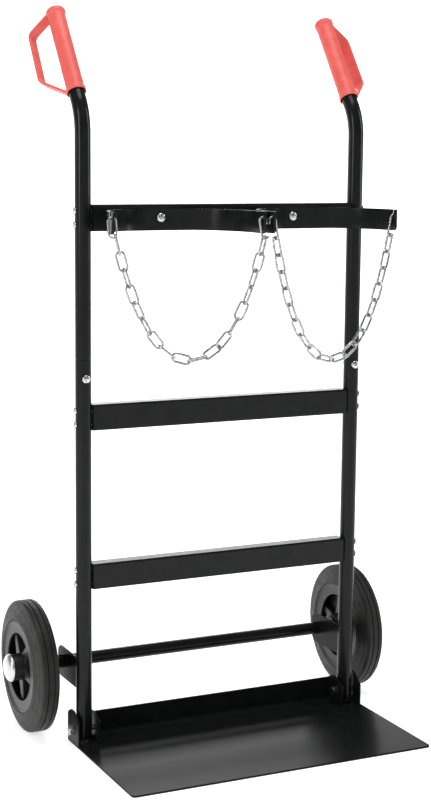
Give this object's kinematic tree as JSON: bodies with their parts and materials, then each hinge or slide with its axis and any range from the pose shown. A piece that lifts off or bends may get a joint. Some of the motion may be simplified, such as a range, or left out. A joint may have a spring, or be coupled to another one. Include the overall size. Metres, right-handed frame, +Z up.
{
  "type": "oxy acetylene torch cart",
  "caption": "Two-cylinder torch cart: black tubular frame, toe plate, half-ring cradles with chains, guarded red grips, two wheels.",
  "frame": {"origin": "on the floor, under the middle of the cart's overall box", "axes": "+Z up, -Y is the front with the toe plate, +Y the back with the wheels, +X the right hand seen from the front"},
  "size_m": [0.6324, 0.421, 1.0838],
  "materials": {
    "black_powder_coat": "gloss",
    "zinc_plated_steel": "bright zinc plate",
    "red_plastic": "satin",
    "black_plastic": "satin",
    "grey_rubber": "matte",
    "wheel_plastic": "gloss"
  },
  "bodies": {
    "frame": {"crossbar_top": "black_powder_coat", "crossbar_middle": "black_powder_coat", "crossbar_lower": "black_powder_coat", "toe_plate": "black_powder_coat", "axle": "black_powder_coat", "lower_tube_left": "black_powder_coat", "handle_tube_left": "black_powder_coat", "foot_plug_left": "black_plastic", "grip_left": "red_plastic", "joint_bolt_left": "zinc_plated_steel", "joint_nut_left": "zinc_plated_steel", "crossbar_screw_top_left_1": "zinc_plated_steel", "crossbar_screw_top_left_2": "zinc_plated_steel", "crossbar_screw_middle_left_1": "zinc_plated_steel", "crossbar_screw_middle_left_2": "zinc_plated_steel", "crossbar_screw_lower_left_1": "zinc_plated_steel", "crossbar_screw_lower_left_2": "zinc_plated_steel", "toe_bolt_left": "zinc_plated_steel", "toe_nut_left": "zinc_plated_steel", "cradle_left": "black_powder_coat", "cradle_bolt_left": "zinc_plated_steel", "cradle_nut_left": "zinc_plated_steel", "axle_bracket_left": "black_powder_coat", "axle_washer_left": "black_plastic", "hub_cap_left": "zinc_plated_steel", "lower_tube_right": "black_powder_coat", "handle_tube_right": "black_powder_coat", "foot_plug_right": "black_plastic", "grip_right": "red_plastic", "joint_bolt_right": "zinc_plated_steel", "joint_nut_right": "zinc_plated_steel", "crossbar_screw_top_right_1": "zinc_plated_steel", "crossbar_screw_top_right_2": "zinc_plated_steel", "crossbar_screw_middle_right_1": "zinc_plated_steel", "crossbar_screw_middle_right_2": "zinc_plated_steel", "crossbar_screw_lower_right_1": "zinc_plated_steel", "crossbar_screw_lower_right_2": "zinc_plated_steel", "toe_bolt_right": "zinc_plated_steel", "toe_nut_right": "zinc_plated_steel", "cradle_right": "black_powder_coat", "cradle_bolt_right": "zinc_plated_steel", "cradle_nut_right": "zinc_plated_steel", "axle_bracket_right": "black_powder_coat", "axle_washer_right": "black_plastic", "hub_cap_right": "zinc_plated_steel"},
    "wheel_left": {"tyre_left": "grey_rubber", "wheel_rim_left": "wheel_plastic", "hub_bush_left": "black_plastic"},
    "wheel_right": {"tyre_right": "grey_rubber", "wheel_rim_right": "wheel_plastic", "hub_bush_right": "black_plastic"},
    "chain_left": {"chain_left": "zinc_plated_steel", "chain_hook_left_inner": "zinc_plated_steel", "chain_end_link": "zinc_plated_steel"},
    "chain_right": {"chain_right": "zinc_plated_steel", "chain_hook_right_inner": "zinc_plated_steel", "chain_hook_right_outer": "zinc_plated_steel"}
  },
  "joints": [
    {"name": "wheel_left_spin", "type": "hinge", "parent": "frame", "child": "wheel_left", "pos_m": [-0.276, 0.1105, 0.1], "axis": [1, 0, 0], "continuous": true},
    {"name": "wheel_right_spin", "type": "hinge", "parent": "frame", "child": "wheel_right", "pos_m": [0.276, 0.1105, 0.1], "axis": [1, 0, 0], "continuous": true},
    {"name": "chain_left_swing", "type": "hinge", "parent": "frame", "child": "chain_left", "pos_m": [-0.116, -0.1078, 0.785], "axis": [0.9906, -0.1369, 0], "range_deg": [-80, 15]},
    {"name": "chain_right_swing", "type": "hinge", "parent": "frame", "child": "chain_right", "pos_m": [0.116, -0.1078, 0.785], "axis": [0.9906, 0.1369, 0], "range_deg": [-80, 15]}
  ]
}
